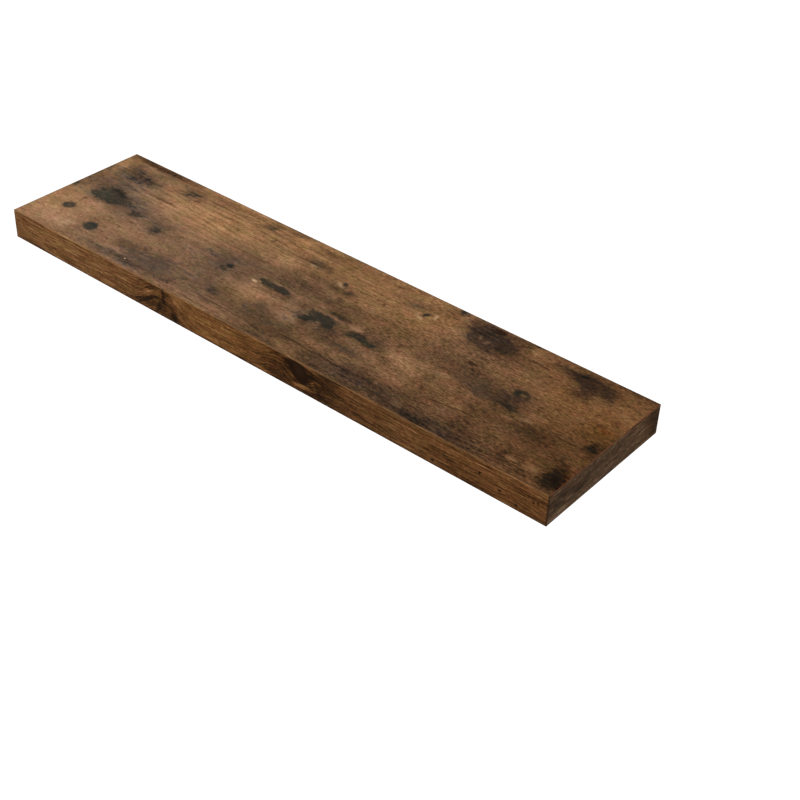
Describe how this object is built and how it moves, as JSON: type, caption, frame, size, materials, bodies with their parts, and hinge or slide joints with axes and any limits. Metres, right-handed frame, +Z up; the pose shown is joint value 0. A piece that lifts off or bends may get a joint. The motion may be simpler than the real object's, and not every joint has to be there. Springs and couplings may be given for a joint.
{
  "type": "floating wall shelf",
  "caption": "Long thin floating wall shelf: a hollow rustic wood-effect board that slides onto the rods of a concealed steel wall bracket and is locked by screws from below.",
  "frame": {"origin": "middle of the concealed bracket's back face, where it lies against the wall", "axes": "+X along the shelf to the right seen from the front, +Y back into the wall, +Z up"},
  "size_m": [0.8, 0.2, 0.038],
  "materials": {
    "wood_decor": "matt printed foil: brown rustic boards with black-grey stains, knots and fine cracks along the grain",
    "edge_decor": "matt printed edge band: warmer brown softwood grain with dark knots",
    "raw_fibreboard": "sawn fibreboard, unfinished",
    "kraft_paper": "recycled brown paper, unfinished",
    "zinc_steel": "bright zinc plated"
  },
  "bodies": {
    "bracket": {"bracket_plate": "zinc_steel", "bracket_rod_left": "zinc_steel", "bracket_rod_centre": "zinc_steel", "bracket_rod_right": "zinc_steel"},
    "board": {"top_skin": "wood_decor", "bottom_skin": "wood_decor", "front_rail": "raw_fibreboard", "rear_rail": "raw_fibreboard", "left_end_rail": "raw_fibreboard", "right_end_rail": "raw_fibreboard", "rod_batten_left": "raw_fibreboard", "rod_batten_centre": "raw_fibreboard", "rod_batten_right": "raw_fibreboard", "paper_core_far_left": "kraft_paper", "paper_core_mid_left": "kraft_paper", "paper_core_mid_right": "kraft_paper", "paper_core_far_right": "kraft_paper", "front_edge_band": "edge_decor", "left_edge_band": "edge_decor", "right_edge_band": "edge_decor"},
    "lock_screw_left": {"lock_screw_left": "zinc_steel"},
    "lock_screw_right": {"lock_screw_right": "zinc_steel"}
  },
  "joints": [
    {"name": "board_slide", "type": "slide", "parent": "bracket", "child": "board", "axis": [0, -1, 0], "range_m": [0, 0.13]},
    {"name": "lock_screw_left_travel", "type": "slide", "parent": "board", "child": "lock_screw_left", "axis": [0, 0, -1], "range_m": [0, 0.012]},
    {"name": "lock_screw_right_travel", "type": "slide", "parent": "board", "child": "lock_screw_right", "axis": [0, 0, -1], "range_m": [0, 0.012]}
  ]
}
